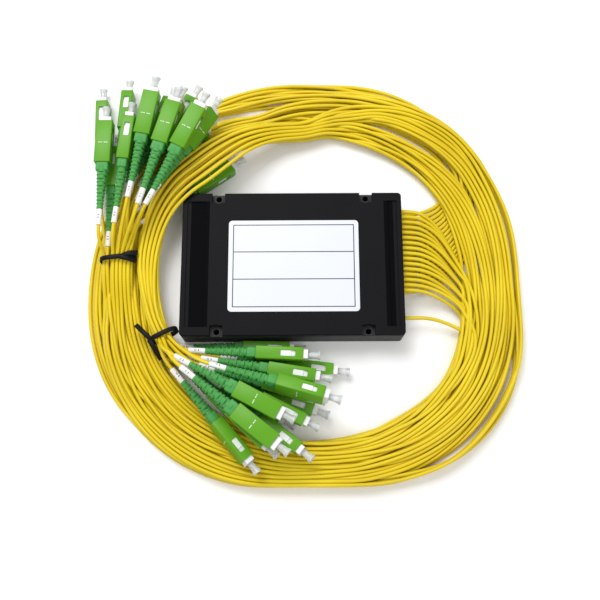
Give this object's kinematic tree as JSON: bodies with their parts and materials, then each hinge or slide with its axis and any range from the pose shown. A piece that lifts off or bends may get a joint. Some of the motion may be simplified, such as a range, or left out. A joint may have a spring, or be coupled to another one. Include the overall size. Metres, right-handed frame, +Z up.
{
  "type": "plc fibre splitter",
  "caption": "Flat box splitter module whose fibre cords leave one end in rows, lie in one tied coil round the box, and end in capped angled square push-pull connectors with ribbed boots.",
  "frame": {"origin": "under the middle of the box, on the surface it lies on", "axes": "X along the box towards the end where the cords leave, Y across the box, Z up through the cover"},
  "size_m": [0.2398, 0.2322, 0.0373],
  "materials": {
    "box": "fine matt ABS, black",
    "label": "printed film, white",
    "resin": "cured resin",
    "foam_pad": "soft adhesive pad",
    "steel_tube": "drawn steel",
    "rubber_plug": "moulded rubber",
    "chip": "silica on silicon",
    "glass_block": "polished glass",
    "ribbon": "coated ribbon",
    "fibre_tube": "small plastic tube",
    "cord": "soft yellow jacket",
    "tie": "coated wire, black",
    "grip": "moulded, bright green",
    "inner_body": "moulded, white",
    "ferrule": "polished ceramic",
    "cap": "translucent soft plastic",
    "crimp": "turned metal",
    "boot": "soft moulded, dark green",
    "sleeve": "white printed sleeve"
  },
  "bodies": {
    "splitter": {"base_shell": "box", "connector_bodies": "inner_body", "connector_boots": "boot", "cord_anchor": "resin", "cord_coil": "cord", "crimp_bodies": "crimp", "dust_caps": "cap", "fan_out_blocks": "resin", "ferrules": "ferrule", "fibre_arrays": "glass_block", "fibre_tubes": "fibre_tube", "front_label": "label", "input_cord": "cord", "lower_row_cords": "cord", "lower_tails": "cord", "lower_tie": "tie", "module_housing": "steel_tube", "module_pad": "foam_pad", "module_plugs": "rubber_plug", "number_sleeves": "sleeve", "output_ribbons": "ribbon", "splitter_chip": "chip", "strand_band": "cord", "top_cover": "box", "upper_row_cords": "cord", "upper_tails": "cord", "upper_tie": "tie"},
    "grip_01_body": {"grip_01": "grip"},
    "grip_02_body": {"grip_02": "grip"},
    "grip_03_body": {"grip_03": "grip"},
    "grip_04_body": {"grip_04": "grip"},
    "grip_05_body": {"grip_05": "grip"},
    "grip_06_body": {"grip_06": "grip"},
    "grip_07_body": {"grip_07": "grip"},
    "grip_08_body": {"grip_08": "grip"},
    "grip_09_body": {"grip_09": "grip"},
    "grip_10_body": {"grip_10": "grip"},
    "grip_11_body": {"grip_11": "grip"},
    "grip_12_body": {"grip_12": "grip"},
    "grip_13_body": {"grip_13": "grip"},
    "grip_14_body": {"grip_14": "grip"},
    "grip_15_body": {"grip_15": "grip"},
    "grip_16_body": {"grip_16": "grip"},
    "grip_17_body": {"grip_17": "grip"},
    "grip_18_body": {"grip_18": "grip"},
    "grip_19_body": {"grip_19": "grip"},
    "grip_20_body": {"grip_20": "grip"},
    "grip_21_body": {"grip_21": "grip"},
    "grip_22_body": {"grip_22": "grip"},
    "grip_23_body": {"grip_23": "grip"},
    "grip_24_body": {"grip_24": "grip"},
    "grip_25_body": {"grip_25": "grip"},
    "grip_26_body": {"grip_26": "grip"},
    "grip_27_body": {"grip_27": "grip"},
    "grip_28_body": {"grip_28": "grip"},
    "grip_29_body": {"grip_29": "grip"},
    "grip_30_body": {"grip_30": "grip"},
    "grip_31_body": {"grip_31": "grip"},
    "grip_32_body": {"grip_32": "grip"},
    "grip_33_body": {"grip_33": "grip"}
  },
  "joints": [
    {"name": "grip_01_slide", "type": "slide", "parent": "splitter", "child": "grip_01_body", "axis": [0.0349, -0.9994, 0], "range_m": [0, 0.0019]},
    {"name": "grip_02_slide", "type": "slide", "parent": "splitter", "child": "grip_02_body", "axis": [-0.0173, -0.9901, 0.1392], "range_m": [0, 0.0019]},
    {"name": "grip_03_slide", "type": "slide", "parent": "splitter", "child": "grip_03_body", "axis": [-0.156, -0.9846, 0.0785], "range_m": [0, 0.0019]},
    {"name": "grip_04_slide", "type": "slide", "parent": "splitter", "child": "grip_04_body", "axis": [-0.297, -0.942, 0.1564], "range_m": [0, 0.0019]},
    {"name": "grip_05_slide", "type": "slide", "parent": "splitter", "child": "grip_05_body", "axis": [-0.4617, -0.887, 0.0087], "range_m": [0, 0.0019]},
    {"name": "grip_06_slide", "type": "slide", "parent": "splitter", "child": "grip_06_body", "axis": [-0.5142, -0.8558, 0.0558], "range_m": [0, 0.0019]},
    {"name": "grip_07_slide", "type": "slide", "parent": "splitter", "child": "grip_07_body", "axis": [-0.1736, -0.9848, -0.0087], "range_m": [0, 0.0019]},
    {"name": "grip_08_slide", "type": "slide", "parent": "splitter", "child": "grip_08_body", "axis": [-0.6626, -0.749, 0], "range_m": [0, 0.0019]},
    {"name": "grip_09_slide", "type": "slide", "parent": "splitter", "child": "grip_09_body", "axis": [-0.8065, -0.586, 0.0785], "range_m": [0, 0.0019]},
    {"name": "grip_10_slide", "type": "slide", "parent": "splitter", "child": "grip_10_body", "axis": [-0.7716, -0.6361, -0.0087], "range_m": [0, 0.0019]},
    {"name": "grip_11_slide", "type": "slide", "parent": "splitter", "child": "grip_11_body", "axis": [-0.357, -0.93, -0.0872], "range_m": [0, 0.0019]},
    {"name": "grip_12_slide", "type": "slide", "parent": "splitter", "child": "grip_12_body", "axis": [-0.0087, -0.9999, 0.0087], "range_m": [0, 0.0019]},
    {"name": "grip_13_slide", "type": "slide", "parent": "splitter", "child": "grip_13_body", "axis": [-0.1045, -0.9942, -0.0262], "range_m": [0, 0.0019]},
    {"name": "grip_14_slide", "type": "slide", "parent": "splitter", "child": "grip_14_body", "axis": [-0.284, -0.9588, -0.0087], "range_m": [0, 0.0019]},
    {"name": "grip_15_slide", "type": "slide", "parent": "splitter", "child": "grip_15_body", "axis": [-0.1905, -0.9798, -0.061], "range_m": [0, 0.0019]},
    {"name": "grip_16_slide", "type": "slide", "parent": "splitter", "child": "grip_16_body", "axis": [-0.46, -0.8836, -0.0872], "range_m": [0, 0.0019]},
    {"name": "grip_17_slide", "type": "slide", "parent": "splitter", "child": "grip_17_body", "axis": [0.0173, -0.9934, 0.1132], "range_m": [0, 0.0019]},
    {"name": "grip_18_slide", "type": "slide", "parent": "splitter", "child": "grip_18_body", "axis": [-0.9997, 0.0262, 0], "range_m": [0, 0.0019]},
    {"name": "grip_19_slide", "type": "slide", "parent": "splitter", "child": "grip_19_body", "axis": [-0.9925, 0.1219, 0], "range_m": [0, 0.0019]},
    {"name": "grip_20_slide", "type": "slide", "parent": "splitter", "child": "grip_20_body", "axis": [-0.9744, 0.225, 0], "range_m": [0, 0.0019]},
    {"name": "grip_21_slide", "type": "slide", "parent": "splitter", "child": "grip_21_body", "axis": [-0.9397, 0.342, 0], "range_m": [0, 0.0019]},
    {"name": "grip_22_slide", "type": "slide", "parent": "splitter", "child": "grip_22_body", "axis": [-0.8829, 0.4695, -0.0087], "range_m": [0, 0.0019]},
    {"name": "grip_23_slide", "type": "slide", "parent": "splitter", "child": "grip_23_body", "axis": [-0.7247, 0.6877, -0.0436], "range_m": [0, 0.0019]},
    {"name": "grip_24_slide", "type": "slide", "parent": "splitter", "child": "grip_24_body", "axis": [-0.998, 0.0523, -0.0349], "range_m": [0, 0.0019]},
    {"name": "grip_25_slide", "type": "slide", "parent": "splitter", "child": "grip_25_body", "axis": [-0.9861, 0.165, -0.0175], "range_m": [0, 0.0019]},
    {"name": "grip_26_slide", "type": "slide", "parent": "splitter", "child": "grip_26_body", "axis": [-0.9534, 0.2915, -0.0785], "range_m": [0, 0.0019]},
    {"name": "grip_27_slide", "type": "slide", "parent": "splitter", "child": "grip_27_body", "axis": [-0.8908, 0.4441, 0.0958], "range_m": [0, 0.0019]},
    {"name": "grip_28_slide", "type": "slide", "parent": "splitter", "child": "grip_28_body", "axis": [-0.7768, 0.6179, -0.1219], "range_m": [0, 0.0019]},
    {"name": "grip_29_slide", "type": "slide", "parent": "splitter", "child": "grip_29_body", "axis": [-0.7249, 0.6879, -0.0349], "range_m": [0, 0.0019]},
    {"name": "grip_30_slide", "type": "slide", "parent": "splitter", "child": "grip_30_body", "axis": [-0.6494, 0.7604, 0.0087], "range_m": [0, 0.0019]},
    {"name": "grip_31_slide", "type": "slide", "parent": "splitter", "child": "grip_31_body", "axis": [-0.9607, 0.2755, -0.0349], "range_m": [0, 0.0019]},
    {"name": "grip_32_slide", "type": "slide", "parent": "splitter", "child": "grip_32_body", "axis": [-0.8787, 0.4771, -0.0175], "range_m": [0, 0.0019]},
    {"name": "grip_33_slide", "type": "slide", "parent": "splitter", "child": "grip_33_body", "axis": [-0.7819, 0.6219, -0.0436], "range_m": [0, 0.0019]}
  ]
}
